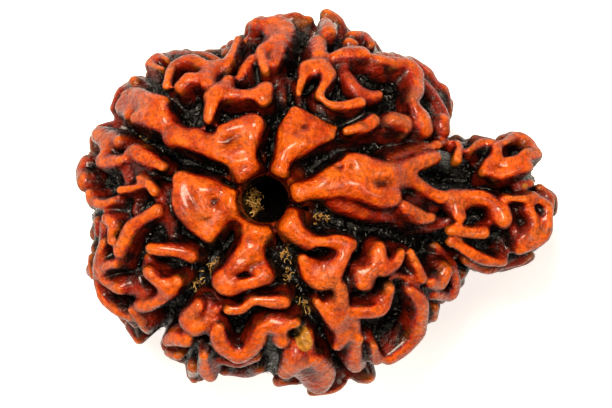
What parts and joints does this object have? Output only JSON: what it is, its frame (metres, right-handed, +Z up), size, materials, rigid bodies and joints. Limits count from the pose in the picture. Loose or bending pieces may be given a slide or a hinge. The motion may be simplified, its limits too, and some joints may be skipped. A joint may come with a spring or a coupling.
{
  "type": "rudraksha seed",
  "caption": "Dried woody seed stone with a round hole through its poles, deep grooves, a labyrinth of rounded ridges and a trunk-like growth at one side.",
  "frame": {"origin": "centre of the bounding box's bottom face, on the surface the seed lies on", "axes": "+X towards the trunk-like growth, +Z up along the hole, away from the surface it lies on"},
  "size_m": [0.0302, 0.0242, 0.0206],
  "materials": {
    "shell": "polished ridges over rough dark ground"
  },
  "bodies": {
    "root": {"rudraksha_seed": "shell"}
  },
  "joints": []
}
